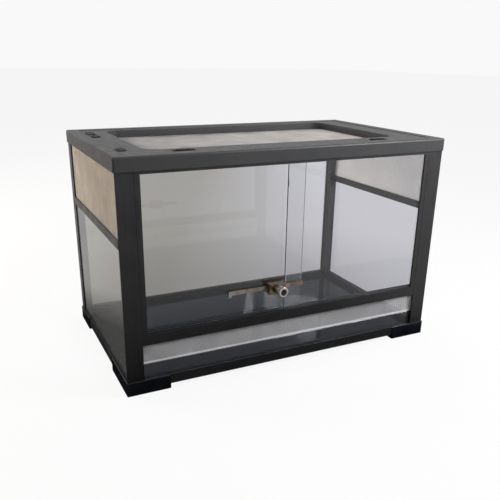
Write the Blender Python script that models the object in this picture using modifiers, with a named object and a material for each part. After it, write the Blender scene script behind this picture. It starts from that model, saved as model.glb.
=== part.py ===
# Glass terrarium with two sliding front doors, a ratchet lock, side mesh panels and a lift-off mesh lid.
# Metres, +Z up, +X to the right, front towards -Y. The origin is on the floor, under the middle of the box
# that holds the whole object, lock included.

import math

import bmesh
import bpy
from mathutils import Matrix, Vector

# Overall size
LENGTH = 0.600
DEPTH = 0.353
HEIGHT = 0.382
LOCK_REACH = 0.0195
SEAT_GAP = 0.0003

# Panes and the grooves that take them
GLASS = 0.004
GROOVE_DEPTH = 0.0053
SIDE_PANE_INSET = 0.0035
BACK_PANE_INSET = 0.0075
FRONT_PANE_INSET = 0.006

# Top frame
TOP_FRAME_HEIGHT = 0.0217
RIM_WIDTH = 0.020
RIM_EDGE = 0.003
LID_DROP = 0.001
LID_THICKNESS = 0.0057
LEDGE_REACH = 0.008
LEDGE_THICKNESS = 0.003

# Base frame, floor and feet
BASE_UNDERSIDE = 0.0083
BASE_TOP = 0.025
BASE_INSET = 0.0018
BASE_RAIL_WIDTH = 0.0135
BASE_LEDGE_REACH = 0.007
BASE_LEDGE_THICKNESS = 0.0024
FLOOR_THICKNESS = 0.004
FOOT_WIDTH = 0.022
FOOT_LEG_X = 0.074
FRONT_FOOT_LEG_Y = 0.100
BACK_FOOT_LEG_Y = 0.068
FOOT_EDGE = 0.001

# Corner posts
POST_INSET = 0.002
FRONT_POST_WIDTH = 0.028
BACK_POST_WIDTH = 0.019
FRONT_POST_DEPTH = 0.0158
BACK_POST_DEPTH = 0.0215
POST_FLANGE = 0.0023
POST_WALL = 0.002
PEG_LENGTH = 0.008
PEG_SIZE = 0.009
PEG_ROOT = 0.004

# Sliding door tracks
TRACK_INSET = 0.0022
TRACK_WALL = 0.0016
TRACK_CENTRE_WALL = 0.0034
TRACK_PLAY = 0.0004
RAIL_BOTTOM = 0.0850
RAIL_HEIGHT = 0.0180
RAIL_TRACK_DEPTH = 0.007
TOP_TRACK_DROP = 0.0047
TOP_TRACK_HEIGHT = 0.0141
JAMB_WIDTH = 0.009
JAMB_WALL = 0.0015
DOOR_EDGE_GAP = 0.0006
DOOR_OVERLAP = 0.036
DOOR_MEETING_X = 0.003
DOOR_LIFT = 0.0069
DOOR_ARRIS = 0.0005

# Side panels
SIDE_RAIL_BOTTOM = 0.2467
SIDE_RAIL_HEIGHT = 0.0133
SIDE_RAIL_THICKNESS = 0.008
SIDE_RAIL_SEAT = 0.0055

# Mesh panels: wires one way and ties across them, both far further apart than on the real gauze
MESH_WIRE_PITCH = 0.0105
MESH_TIE_PITCH = 0.060
MESH_WIRE = 0.0016
MESH_THICKNESS = 0.0008
MESH_HEM = 0.005
LID_HEM_THICKNESS = 0.002
VENT_BOTTOM = 0.0503

# Lid
LID_EDGE_GAP = 0.0008
WELL_SIDE_MARGIN = 0.065
WELL_FRONT_MARGIN = 0.0615
WELL_BACK_MARGIN = 0.0315
WELL_CORNER = 0.022
WELL_WALL = 0.0025
WELL_DEPTH = 0.012
WELL_LIP = 0.005
WELL_LIP_THICKNESS = 0.002

# Lid latches
LATCH_SIDE_MARGIN = 0.120
LATCH_POCKET_WIDTH = 0.038
LATCH_POCKET_LENGTH = 0.018
LATCH_POCKET_MARGIN = 0.030
LATCH_WIDTH = 0.022
LATCH_THICKNESS = 0.0017
LATCH_TRAVEL = 0.006
LATCH_FLOOR = 0.0014
THUMB_LENGTH = 0.0085
THUMB_MARGIN = 0.003
THUMB_RIBS = 4
THUMB_RIB_DEPTH = 0.0007

# Cable inlets in the lid's left margin, each closed by a rubber plug
INLET_MARGIN = 0.031
INLET_WIDTH = 0.012
FRONT_INLET_LENGTH = 0.026
FRONT_INLET_FROM_FRONT = 0.0718
MIDDLE_INLET_LENGTH = 0.022
MIDDLE_INLET_FROM_BACK = 0.114
BACK_INLET_LENGTH = 0.034
BACK_INLET_FROM_BACK = 0.0703
PLUG_HEAD_RIM = 0.0012
PLUG_HEAD_THICKNESS = 0.0007
PLUG_STEM = 0.0032

# Ratchet lock
LOCK_Z = 0.1459
BAR_LENGTH = 0.1408
BAR_HEIGHT = 0.0072
BAR_THICKNESS = 0.0015
BAR_TAB_DROP = 0.0035
BAR_TAB_LENGTH = 0.005
TOOTH_PITCH = 0.0025
TOOTH_DEPTH = 0.0008
HOOK_RETURN = 0.008
HOUSING_WIDTH = 0.0315
HOUSING_BELOW = 0.0100
HOUSING_ABOVE = 0.0090
HOUSING_DEPTH = 0.0116
HOUSING_BACK_WALL = 0.00075
HOUSING_EDGE = 0.001
BARREL_RADIUS = 0.009
BARREL_SHIFT = 0.001
PLUG_RADIUS = 0.0054
PLUG_LENGTH = 0.018
PLUG_PLAY = 0.0003
KEYWAY_WIDTH = 0.0014
KEYWAY_HEIGHT = 0.0064
KEYWAY_DEPTH = 0.010

# Planes and levels that several pieces share
FRONT = -DEPTH / 2 + LOCK_REACH / 2
BACK = FRONT + DEPTH
SIDE = LENGTH / 2
FRAME_UNDERSIDE = HEIGHT - TOP_FRAME_HEIGHT
GROOVE = GLASS + 2 * SEAT_GAP
PANE_BOTTOM = BASE_TOP - GROOVE_DEPTH - SEAT_GAP
PANE_TOP = FRAME_UNDERSIDE + GROOVE_DEPTH
SIDE_PANE = SIDE - SIDE_PANE_INSET - GLASS / 2
BACK_PANE = BACK - BACK_PANE_INSET - GLASS / 2
FRONT_PANE = FRONT + FRONT_PANE_INSET + GLASS / 2
POST_OUTER = SIDE - POST_INSET
FRONT_POST_INNER = POST_OUTER - FRONT_POST_WIDTH
BACK_POST_INNER = POST_OUTER - BACK_POST_WIDTH
FRONT_POST_REAR = FRONT + POST_INSET + FRONT_POST_DEPTH
BACK_POST_FRONT = BACK - POST_INSET - BACK_POST_DEPTH
BASE_SIDE = SIDE - BASE_INSET
BASE_FRONT = FRONT + BASE_INSET
BASE_BACK = BACK - BASE_INSET
LEDGE_TOP = HEIGHT - LID_DROP - LID_THICKNESS - SEAT_GAP
LID_TOP = HEIGHT - LID_DROP
LID_UNDERSIDE = LID_TOP - LID_THICKNESS
LID_SIDE = SIDE - RIM_WIDTH - LID_EDGE_GAP
LID_FRONT = FRONT + RIM_WIDTH + LID_EDGE_GAP
LID_BACK = BACK - RIM_WIDTH - LID_EDGE_GAP
WELL_HALF_WIDTH = SIDE - WELL_SIDE_MARGIN
WELL_FRONT = FRONT + WELL_FRONT_MARGIN
WELL_BACK = BACK - WELL_BACK_MARGIN
WELL_BOTTOM = LID_TOP - WELL_DEPTH
LATCH_X = SIDE - LATCH_SIDE_MARGIN
INLET_X = -SIDE + INLET_MARGIN
TRACK_FRONT = FRONT + TRACK_INSET
TRACK_GROOVE = GLASS + 2 * TRACK_PLAY
TRACK_DEPTH = 2 * TRACK_WALL + 2 * TRACK_GROOVE + TRACK_CENTRE_WALL
FRONT_DOOR = TRACK_FRONT + TRACK_WALL + TRACK_GROOVE / 2
REAR_DOOR = TRACK_FRONT + TRACK_DEPTH - TRACK_WALL - TRACK_GROOVE / 2
RAIL_TOP = RAIL_BOTTOM + RAIL_HEIGHT
TOP_TRACK_BOTTOM = FRAME_UNDERSIDE - TOP_TRACK_DROP
DOOR_SPAN = FRONT_POST_INNER - SEAT_GAP - JAMB_WALL - DOOR_EDGE_GAP
LEFT_DOOR_EDGE = DOOR_MEETING_X + DOOR_OVERLAP / 2
RIGHT_DOOR_EDGE = DOOR_MEETING_X - DOOR_OVERLAP / 2
DOOR_BOTTOM = RAIL_TOP - RAIL_TRACK_DEPTH + TRACK_PLAY
DOOR_TOP = TOP_TRACK_BOTTOM + DOOR_LIFT
BAR_Y = (FRONT_DOOR + REAR_DOOR) / 2
HOUSING_BACK = REAR_DOOR - GLASS / 2 - SEAT_GAP
LOCK_FRONT = FRONT - LOCK_REACH
HOUSING_RIGHT = RIGHT_DOOR_EDGE - SEAT_GAP
HOUSING_LEFT = HOUSING_RIGHT - HOUSING_WIDTH
BARREL_X = (HOUSING_LEFT + HOUSING_RIGHT) / 2 + BARREL_SHIFT
BARREL_Z = LOCK_Z + (HOUSING_ABOVE - HOUSING_BELOW) / 2
OVERSHOOT = 0.01


def empty_scene():
    for thing in list(bpy.data.objects):
        bpy.data.objects.remove(thing, do_unlink=True)
    collections = []
    for name in ("terrarium", "terrarium_cutters"):
        collection = bpy.data.collections.new(name)
        bpy.context.scene.collection.children.link(collection)
        collections.append(collection)
    return collections


PARTS, CUTTERS = empty_scene()


def material(name, colour, roughness, metallic=0.0, alpha=1.0, transmission=0.0):
    finish = bpy.data.materials.new(name)
    finish.use_nodes = True
    shader = finish.node_tree.nodes["Principled BSDF"]
    shader.inputs["Base Color"].default_value = (*colour, 1.0)
    shader.inputs["Roughness"].default_value = roughness
    shader.inputs["Metallic"].default_value = metallic
    shader.inputs["Alpha"].default_value = alpha
    shader.inputs["Transmission Weight"].default_value = transmission
    finish.diffuse_color = (*colour, alpha)
    return finish


CHARCOAL = ("charcoal plastic", (0.030, 0.031, 0.034), 0.45)
ANODISED = ("charcoal extrusion", (0.035, 0.036, 0.040), 0.38, 0.4)
CLEAR = ("clear glass", (0.80, 0.86, 0.85), 0.03, 0.0, 0.30, 0.9)
DARK_GLASS = ("black glass", (0.012, 0.013, 0.015), 0.05)
GAUZE = ("steel gauze", (0.52, 0.50, 0.47), 0.40, 0.8)
RUBBER = ("black rubber", (0.010, 0.010, 0.011), 0.80)
STEEL = ("plated steel", (0.62, 0.58, 0.52), 0.25, 1.0)
CHROME = ("chrome", (0.80, 0.80, 0.80), 0.08, 1.0)
BRASS = ("dull brass", (0.55, 0.45, 0.28), 0.35, 1.0)


# Gives a finished piece its own material and files it with the parts
def finish_part(part, look):
    name, *values = look
    part.data.materials.clear()
    part.data.materials.append(material(f"{part.name} {name}", *values))
    if part.name not in PARTS.objects:
        PARTS.objects.link(part)
    return part


def as_helper(part):
    if part.name in PARTS.objects:
        PARTS.objects.unlink(part)
    if part.name not in CUTTERS.objects:
        CUTTERS.objects.link(part)
    part.hide_render = True
    part.display_type = "WIRE"
    return part


def mesh_object(name, bm, location=(0, 0, 0)):
    mesh = bpy.data.meshes.new(name)
    bm.to_mesh(mesh)
    bm.free()
    part = bpy.data.objects.new(name, mesh)
    part.location = location
    return part


# A box between two corners, its origin in its middle; chosen edges can be rounded
def block(name, low, high, rounded=None, radius=0.0, segments=1):
    low, high = Vector(low), Vector(high)
    bm = bmesh.new()
    bmesh.ops.create_cube(bm, size=1.0)
    bmesh.ops.scale(bm, vec=high - low, verts=bm.verts)
    if rounded:
        edges = [edge for edge in bm.edges if rounded(edge)]
        bmesh.ops.bevel(
            bm, geom=edges, offset=radius, segments=segments, profile=0.5,
            affect="EDGES", clamp_overlap=True,
        )
    return mesh_object(name, bm, (low + high) / 2)


def upright(edge):
    return abs(edge.verts[0].co.z - edge.verts[1].co.z) > 1e-6


# A cutter made of one box
def box_cutter(name, low, high):
    return as_helper(block(name, low, high))


# A flat outline, with any holes, drawn in the local XY plane and extruded along local Z
def outline_curve(name, loops, thickness, location=(0, 0, 0), rotation=(0, 0, 0)):
    curve = bpy.data.curves.new(name, "CURVE")
    curve.dimensions = "2D"
    curve.fill_mode = "BOTH"
    curve.extrude = thickness / 2
    for loop in loops:
        spline = curve.splines.new("POLY")
        spline.points.add(len(loop) - 1)
        for point, (x, y) in zip(spline.points, loop):
            point.co = (x, y, 0, 1)
        spline.use_cyclic_u = True
    part = bpy.data.objects.new(name, curve)
    part.location = location
    part.rotation_euler = rotation
    return part


# The same outline as a welded mesh, ready to be cut
def outline_mesh(name, loops, thickness, location=(0, 0, 0), rotation=(0, 0, 0)):
    drawn = outline_curve(f"{name}_outline", loops, thickness, location, rotation)
    PARTS.objects.link(drawn)
    bpy.context.view_layer.update()
    evaluated = drawn.evaluated_get(bpy.context.evaluated_depsgraph_get())
    mesh = bpy.data.meshes.new_from_object(evaluated)
    bm = bmesh.new()
    bm.from_mesh(mesh)
    bmesh.ops.remove_doubles(bm, verts=bm.verts, dist=1e-6)
    bm.to_mesh(mesh)
    bm.free()
    mesh.name = name
    part = bpy.data.objects.new(name, mesh)
    part.matrix_world = drawn.matrix_world.copy()
    bpy.data.objects.remove(drawn, do_unlink=True)
    return part


def boolean(part, other, operation):
    modifier = part.modifiers.new(other.name, "BOOLEAN")
    modifier.operation = operation
    modifier.object = other
    modifier.solver = "EXACT"


def cut(part, *cutters):
    for cutter in cutters:
        boolean(part, cutter, "DIFFERENCE")


def join(part, *additions):
    for addition in additions:
        boolean(part, as_helper(addition), "UNION")


def rectangle(left, bottom, right, top):
    return [(left, bottom), (right, bottom), (right, top), (left, top)]


# A rectangle with round corners, each drawn as an arc
def rounded_rectangle(left, bottom, right, top, radius, steps):
    loop = []
    corners = (
        (right - radius, top - radius, 0.0),
        (left + radius, top - radius, math.pi / 2),
        (left + radius, bottom + radius, math.pi),
        (right - radius, bottom + radius, 3 * math.pi / 2),
    )
    for x, y, start in corners:
        for step in range(steps + 1):
            angle = start + math.pi / 2 * step / steps
            loop.append((x + radius * math.cos(angle), y + radius * math.sin(angle)))
    return loop


# Rotations that stand an outline's thickness along X or along Y
ALONG_X = (math.pi / 2, 0, math.pi / 2)
ALONG_Y = (math.pi / 2, 0, 0)


# The room inside a post, which the frames' pegs enter
def post_cavity(front):
    if front:
        inner = FRONT_POST_INNER + GROOVE_DEPTH + POST_WALL
        outer = SIDE_PANE - GROOVE / 2 - POST_WALL
        return inner, FRONT + POST_INSET + POST_FLANGE + POST_WALL, outer, FRONT_POST_REAR - POST_WALL
    inner = BACK_POST_INNER + GROOVE_DEPTH + POST_WALL
    near = BACK_POST_FRONT + GROOVE_DEPTH + POST_WALL
    return inner, near, POST_OUTER - POST_WALL, BACK - POST_INSET - POST_WALL


# Square pegs, each in the outer corner of its post's cavity
def pegs(name, low, high):
    made = []
    for side, across in (("left", -1), ("right", 1)):
        for end in ("front", "back"):
            _, near, outer, far = post_cavity(end == "front")
            xs = sorted((across * (outer - SEAT_GAP), across * (outer - SEAT_GAP - PEG_SIZE)))
            start = near + SEAT_GAP if end == "front" else far - SEAT_GAP - PEG_SIZE
            made.append(block(
                f"{name}_{end}_{side}", (xs[0], start, low), (xs[1], start + PEG_SIZE, high),
            ))
    return made


# Grooves that hold the side panes and the back pane, opened in a frame from one level to another
def pane_grooves(name, low, high):
    side_front = FRONT + POST_INSET + POST_FLANGE
    side_back = BACK_POST_FRONT + GROOVE_DEPTH
    made = []
    for side, across in (("left", -1), ("right", 1)):
        xs = sorted((across * (SIDE_PANE - GROOVE / 2), across * (SIDE_PANE + GROOVE / 2)))
        made.append(box_cutter(f"{name}_{side}", (xs[0], side_front, low), (xs[1], side_back, high)))
    reach = BACK_POST_INNER + GROOVE_DEPTH
    made.append(box_cutter(
        f"{name}_back",
        (-reach, BACK_PANE - GROOVE / 2, low),
        (reach, BACK_PANE + GROOVE / 2, high),
    ))
    return made


# Moulded rim round the top: seat for the lid, pocket for the door track, latch catches, pegs
def top_frame():
    half_height = TOP_FRAME_HEIGHT / 2

    def corner_or_top(edge):
        on_top = all(vert.co.z > half_height - 1e-6 for vert in edge.verts)
        return upright(edge) or on_top

    frame = block(
        "top_frame", (-SIDE, FRONT, FRAME_UNDERSIDE), (SIDE, BACK, HEIGHT),
        corner_or_top, RIM_EDGE, 3,
    )
    inner_x = SIDE - RIM_WIDTH
    inner_front = FRONT + RIM_WIDTH
    inner_back = BACK - RIM_WIDTH
    cut(
        frame,
        box_cutter(
            "cut_below_ledge", (-inner_x, inner_front, FRAME_UNDERSIDE - OVERSHOOT),
            (inner_x, inner_back, LEDGE_TOP - LEDGE_THICKNESS),
        ),
        box_cutter(
            "cut_lid_recess", (-inner_x, inner_front, LEDGE_TOP),
            (inner_x, inner_back, HEIGHT + OVERSHOOT),
        ),
        box_cutter(
            "cut_lid_opening",
            (-inner_x + LEDGE_REACH, inner_front + LEDGE_REACH, FRAME_UNDERSIDE - OVERSHOOT),
            (inner_x - LEDGE_REACH, inner_back - LEDGE_REACH, HEIGHT + OVERSHOOT),
        ),
        box_cutter(
            "cut_track_pocket",
            (-FRONT_POST_INNER - SEAT_GAP, TRACK_FRONT - SEAT_GAP, FRAME_UNDERSIDE - OVERSHOOT),
            (FRONT_POST_INNER + SEAT_GAP, TRACK_FRONT + TRACK_DEPTH + SEAT_GAP,
             TOP_TRACK_BOTTOM + TOP_TRACK_HEIGHT + SEAT_GAP),
        ),
        *pane_grooves("cut_top_groove", FRAME_UNDERSIDE - OVERSHOOT, PANE_TOP + SEAT_GAP),
    )
    for side, across in (("left", -1), ("right", 1)):
        low, high = latch_slot_levels()
        cut(frame, box_cutter(
            f"cut_catch_{side}",
            (across * LATCH_X - LATCH_WIDTH / 2 - SEAT_GAP, inner_front - LATCH_TRAVEL, low),
            (across * LATCH_X + LATCH_WIDTH / 2 + SEAT_GAP, inner_front + SEAT_GAP, high),
        ))
    join(frame, *pegs("top_peg", FRAME_UNDERSIDE - PEG_LENGTH, FRAME_UNDERSIDE + PEG_ROOT))
    return finish_part(frame, CHARCOAL)


# Base rim: a ledge carries the floor, grooves take the panes, pegs enter the posts
def bottom_frame():
    frame = block(
        "bottom_frame", (-BASE_SIDE, BASE_FRONT, BASE_UNDERSIDE), (BASE_SIDE, BASE_BACK, BASE_TOP),
    )
    inner_x = BASE_SIDE - BASE_RAIL_WIDTH
    inner_front = BASE_FRONT + BASE_RAIL_WIDTH
    inner_back = BASE_BACK - BASE_RAIL_WIDTH
    reach = FRONT_POST_INNER + GROOVE_DEPTH
    cut(
        frame,
        box_cutter(
            "cut_floor_recess", (-inner_x, inner_front, BASE_UNDERSIDE + BASE_LEDGE_THICKNESS),
            (inner_x, inner_back, BASE_TOP + OVERSHOOT),
        ),
        box_cutter(
            "cut_base_opening",
            (-inner_x + BASE_LEDGE_REACH, inner_front + BASE_LEDGE_REACH, BASE_UNDERSIDE - OVERSHOOT),
            (inner_x - BASE_LEDGE_REACH, inner_back - BASE_LEDGE_REACH, BASE_TOP),
        ),
        *pane_grooves("cut_base_groove", BASE_TOP - GROOVE_DEPTH - 2 * SEAT_GAP, BASE_TOP + OVERSHOOT),
        box_cutter(
            "cut_base_groove_front",
            (-reach, FRONT_PANE - GROOVE / 2, BASE_TOP - GROOVE_DEPTH - 2 * SEAT_GAP),
            (reach, FRONT_PANE + GROOVE / 2, BASE_TOP + OVERSHOOT),
        ),
    )
    join(frame, *pegs("base_peg", BASE_TOP - PEG_ROOT, BASE_TOP + PEG_LENGTH))
    return finish_part(frame, CHARCOAL)


# Glass floor, resting on the base's ledge
def floor_glass():
    half = BASE_SIDE - BASE_RAIL_WIDTH - SEAT_GAP
    low = BASE_UNDERSIDE + BASE_LEDGE_THICKNESS + SEAT_GAP
    return finish_part(block(
        "floor_glass",
        (-half, BASE_FRONT + BASE_RAIL_WIDTH + SEAT_GAP, low),
        (half, BASE_BACK - BASE_RAIL_WIDTH - SEAT_GAP, low + FLOOR_THICKNESS),
    ), DARK_GLASS)


# L-shaped shoe round one corner of the base: a sole below it and a thin wall up its two outer faces
def foot(name, across, along, leg_y):
    outer_y = FRONT if along < 0 else BACK
    corner = (across * SIDE, outer_y)
    inward_x, inward_y = -across, -along
    loop = [
        (0, 0),
        (FOOT_LEG_X, 0),
        (FOOT_LEG_X, FOOT_WIDTH),
        (FOOT_WIDTH, FOOT_WIDTH),
        (FOOT_WIDTH, leg_y),
        (0, leg_y),
    ]
    placed = [(corner[0] + inward_x * x, corner[1] + inward_y * y) for x, y in loop]
    shoe = outline_mesh(name, [placed], BASE_TOP, (0, 0, BASE_TOP / 2))
    shoe.modifiers.new("worn edge", "BEVEL").width = FOOT_EDGE
    shoe.modifiers["worn edge"].segments = 1
    cut(shoe, box_cutter(
        f"cut_{name}",
        (-BASE_SIDE - SEAT_GAP, BASE_FRONT - SEAT_GAP, BASE_UNDERSIDE - SEAT_GAP),
        (BASE_SIDE + SEAT_GAP, BASE_BACK + SEAT_GAP, BASE_TOP + OVERSHOOT),
    ))
    return finish_part(shoe, RUBBER)


# Front post: a flange hides the side pane's front edge, and a groove takes the lower pane and the jamb
def front_post(name, across):
    flange_rear = FRONT + POST_INSET + POST_FLANGE
    body_outer = SIDE_PANE - GROOVE / 2
    groove_floor = FRONT_POST_INNER + GROOVE_DEPTH
    loop = [
        (POST_OUTER, FRONT + POST_INSET),
        (POST_OUTER, flange_rear),
        (body_outer, flange_rear),
        (body_outer, FRONT_POST_REAR),
        (FRONT_POST_INNER, FRONT_POST_REAR),
        (FRONT_POST_INNER, FRONT_PANE + GROOVE / 2),
        (groove_floor, FRONT_PANE + GROOVE / 2),
        (groove_floor, FRONT_PANE - GROOVE / 2),
        (FRONT_POST_INNER, FRONT_PANE - GROOVE / 2),
        (FRONT_POST_INNER, FRONT + POST_INSET),
    ]
    return post(name, across, loop, rectangle(*post_cavity(True)))


# Back post: one groove takes the side pane and another the back pane
def back_post(name, across):
    rear = BACK - POST_INSET
    groove_floor = BACK_POST_INNER + GROOVE_DEPTH
    loop = [
        (BACK_POST_INNER, BACK_POST_FRONT),
        (SIDE_PANE - GROOVE / 2, BACK_POST_FRONT),
        (SIDE_PANE - GROOVE / 2, BACK_POST_FRONT + GROOVE_DEPTH),
        (SIDE_PANE + GROOVE / 2, BACK_POST_FRONT + GROOVE_DEPTH),
        (SIDE_PANE + GROOVE / 2, BACK_POST_FRONT),
        (POST_OUTER, BACK_POST_FRONT),
        (POST_OUTER, rear),
        (BACK_POST_INNER, rear),
        (BACK_POST_INNER, BACK_PANE + GROOVE / 2),
        (groove_floor, BACK_PANE + GROOVE / 2),
        (groove_floor, BACK_PANE - GROOVE / 2),
        (BACK_POST_INNER, BACK_PANE - GROOVE / 2),
    ]
    return post(name, across, loop, rectangle(*post_cavity(False)))


def post(name, across, loop, cavity):
    loops = [[(across * x, y) for x, y in line] for line in (loop, cavity)]
    low = BASE_TOP + SEAT_GAP
    high = FRAME_UNDERSIDE - SEAT_GAP
    return finish_part(outline_curve(name, loops, high - low, (0, 0, (low + high) / 2)), ANODISED)


# Section of the two door tracks: the walls stand on a web, in (depth, height) from its outer corner
def track_walls(web, height):
    first = TRACK_WALL
    second = first + TRACK_GROOVE
    third = second + TRACK_CENTRE_WALL
    fourth = third + TRACK_GROOVE
    return [
        (first, height), (first, web), (second, web), (second, height),
        (third, height), (third, web), (fourth, web), (fourth, height),
    ]


# Bottom rail: door tracks on top, a slot for the vent below, and a hollow between them
def front_rail():
    web = RAIL_HEIGHT - RAIL_TRACK_DEPTH
    slot_near = FRONT_PANE - GROOVE / 2 - TRACK_FRONT
    slot_far = slot_near + GROOVE
    outer = [(0, RAIL_HEIGHT), *track_walls(web, RAIL_HEIGHT), (TRACK_DEPTH, RAIL_HEIGHT), (TRACK_DEPTH, 0)]
    outer += [(slot_far, 0), (slot_far, GROOVE_DEPTH), (slot_near, GROOVE_DEPTH), (slot_near, 0), (0, 0)]
    hollow = rectangle(
        TRACK_WALL, GROOVE_DEPTH + TRACK_WALL, TRACK_DEPTH - TRACK_WALL, web - TRACK_WALL,
    )
    rail = outline_curve(
        "front_rail", [outer, hollow], 2 * (FRONT_POST_INNER - SEAT_GAP),
        (0, TRACK_FRONT, RAIL_BOTTOM), ALONG_X,
    )
    return finish_part(rail, ANODISED)


# Top track: the same walls, hanging from a web inside the top frame
def top_track():
    height = TOP_TRACK_HEIGHT
    hanging = [(depth, height - level) for depth, level in track_walls(TRACK_WALL, height)]
    outer = [(0, height), (0, 0), *hanging, (TRACK_DEPTH, 0), (TRACK_DEPTH, height)]
    track = outline_curve(
        "top_track", [outer], 2 * (FRONT_POST_INNER - SEAT_GAP),
        (0, TRACK_FRONT, TOP_TRACK_BOTTOM), ALONG_X,
    )
    return finish_part(track, ANODISED)


# Upright beside a door: a lip in front of the tracks, a web along the post and a tongue in its groove
def jamb(name, across):
    inner = FRONT_POST_INNER - JAMB_WIDTH
    outer = FRONT_POST_INNER - SEAT_GAP
    tongue = outer + GROOVE_DEPTH - SEAT_GAP
    rear = FRONT_PANE + GLASS / 2
    loop = [
        (inner, TRACK_FRONT), (outer, TRACK_FRONT), (outer, FRONT_PANE - GLASS / 2),
        (tongue, FRONT_PANE - GLASS / 2), (tongue, rear), (outer - JAMB_WALL, rear),
        (outer - JAMB_WALL, TRACK_FRONT + TRACK_WALL), (inner, TRACK_FRONT + TRACK_WALL),
    ]
    low = RAIL_TOP + SEAT_GAP
    high = TOP_TRACK_BOTTOM - SEAT_GAP
    profile = [(across * x, y) for x, y in loop]
    return finish_part(outline_curve(name, [profile], high - low, (0, 0, (low + high) / 2)), ANODISED)


def pane(name, low, high, look=CLEAR):
    sheet = block(name, low, high)
    arris = sheet.modifiers.new("polished arris", "BEVEL")
    arris.width = DOOR_ARRIS
    arris.segments = 1
    return finish_part(sheet, look)


def door(name, left, right, centre_y):
    return pane(
        name, (left, centre_y - GLASS / 2, DOOR_BOTTOM), (right, centre_y + GLASS / 2, DOOR_TOP),
    )


def lower_front_glass():
    reach = FRONT_POST_INNER + GROOVE_DEPTH - SEAT_GAP
    return pane(
        "lower_front_glass",
        (-reach, FRONT_PANE - GLASS / 2, PANE_BOTTOM),
        (reach, FRONT_PANE + GLASS / 2, VENT_BOTTOM - SEAT_GAP),
    )


def back_glass():
    reach = BACK_POST_INNER + GROOVE_DEPTH - SEAT_GAP
    return pane(
        "back_glass",
        (-reach, BACK_PANE - GLASS / 2, PANE_BOTTOM),
        (reach, BACK_PANE + GLASS / 2, PANE_TOP),
    )


def side_glass(name, across):
    xs = sorted((across * (SIDE_PANE - GLASS / 2), across * (SIDE_PANE + GLASS / 2)))
    return pane(
        name,
        (xs[0], FRONT + POST_INSET + POST_FLANGE + SEAT_GAP, PANE_BOTTOM),
        (xs[1], BACK_POST_FRONT + GROOVE_DEPTH - SEAT_GAP, SIDE_RAIL_BOTTOM + SIDE_RAIL_SEAT - SEAT_GAP),
    )


# H-section between the side's glass and its mesh, notched inside to pass the front post
def side_rail(name, across):
    half = SIDE_RAIL_THICKNESS / 2
    slot = GROOVE / 2
    top = SIDE_RAIL_HEIGHT
    seat = SIDE_RAIL_SEAT
    loop = [
        (-half, 0), (-slot, 0), (-slot, seat), (slot, seat), (slot, 0), (half, 0),
        (half, top), (slot, top), (slot, top - seat), (-slot, top - seat), (-slot, top), (-half, top),
    ]
    near = FRONT + POST_INSET + POST_FLANGE + SEAT_GAP
    far = BACK_POST_FRONT - SEAT_GAP
    rail = outline_mesh(
        name, [loop], far - near,
        (across * SIDE_PANE, (near + far) / 2, SIDE_RAIL_BOTTOM), ALONG_Y,
    )
    xs = sorted((across * (SIDE_PANE - GROOVE / 2 + SEAT_GAP), across * (SIDE_PANE - 2 * half)))
    cut(rail, box_cutter(
        f"cut_{name}",
        (xs[0], near - OVERSHOOT, SIDE_RAIL_BOTTOM - OVERSHOOT),
        (xs[1], FRONT_POST_REAR + SEAT_GAP, SIDE_RAIL_BOTTOM + top + OVERSHOOT),
    ))
    return finish_part(rail, ANODISED)


# Wire mesh in a hem: a grid whose faces are inset and emptied, then thickened, its hem drawn out thicker
def mesh_panel(name, width, height, hem_thickness, location, rotation=(0, 0, 0)):
    net_width, net_height = width - 2 * MESH_HEM, height - 2 * MESH_HEM
    columns = round(net_width / MESH_WIRE_PITCH)
    rows = max(1, round(net_height / MESH_TIE_PITCH))
    bm = bmesh.new()
    in_hem = bm.faces.layers.int.new("hem")
    bmesh.ops.create_grid(bm, x_segments=columns, y_segments=rows, size=0.5)
    bmesh.ops.scale(bm, vec=(net_width, net_height, 1), verts=bm.verts)
    cells = list(bm.faces)
    rim = [edge for edge in bm.edges if edge.is_boundary]
    drawn = bmesh.ops.extrude_edge_only(bm, edges=rim)
    outer = [item for item in drawn["geom"] if isinstance(item, bmesh.types.BMVert)]
    bmesh.ops.scale(bm, vec=(width / net_width, height / net_height, 1), verts=outer)
    bmesh.ops.recalc_face_normals(bm, faces=bm.faces)
    for face in bm.faces:
        face[in_hem] = face not in cells
    bmesh.ops.inset_individual(bm, faces=cells, thickness=MESH_WIRE / 2, use_even_offset=True)
    bmesh.ops.delete(bm, geom=cells, context="FACES")
    bmesh.ops.solidify(bm, geom=bm.faces, thickness=MESH_THICKNESS)
    heights = [vert.co.z for vert in bm.verts]
    middle = (min(heights) + max(heights)) / 2
    bmesh.ops.translate(bm, vec=(0, 0, -middle), verts=bm.verts)
    bmesh.ops.recalc_face_normals(bm, faces=bm.faces)
    for up in (1, -1):
        hem = [face for face in bm.faces if face[in_hem] and face.normal.z * up > 0.9]
        raised = bmesh.ops.extrude_face_region(bm, geom=hem)
        verts = [item for item in raised["geom"] if isinstance(item, bmesh.types.BMVert)]
        bmesh.ops.translate(bm, vec=(0, 0, up * (hem_thickness - MESH_THICKNESS) / 2), verts=verts)
        bmesh.ops.delete(bm, geom=hem, context="FACES")
    bmesh.ops.recalc_face_normals(bm, faces=bm.faces)
    panel = mesh_object(name, bm, location)
    panel.rotation_euler = rotation
    return finish_part(panel, GAUZE)


def side_mesh(name, across):
    near = FRONT + POST_INSET + POST_FLANGE + SEAT_GAP
    far = BACK_POST_FRONT + GROOVE_DEPTH - SEAT_GAP
    low = SIDE_RAIL_BOTTOM + SIDE_RAIL_HEIGHT - SIDE_RAIL_SEAT + SEAT_GAP
    return mesh_panel(
        name, far - near, PANE_TOP - low, GLASS,
        (across * SIDE_PANE, (near + far) / 2, (low + PANE_TOP) / 2), ALONG_X,
    )


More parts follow.
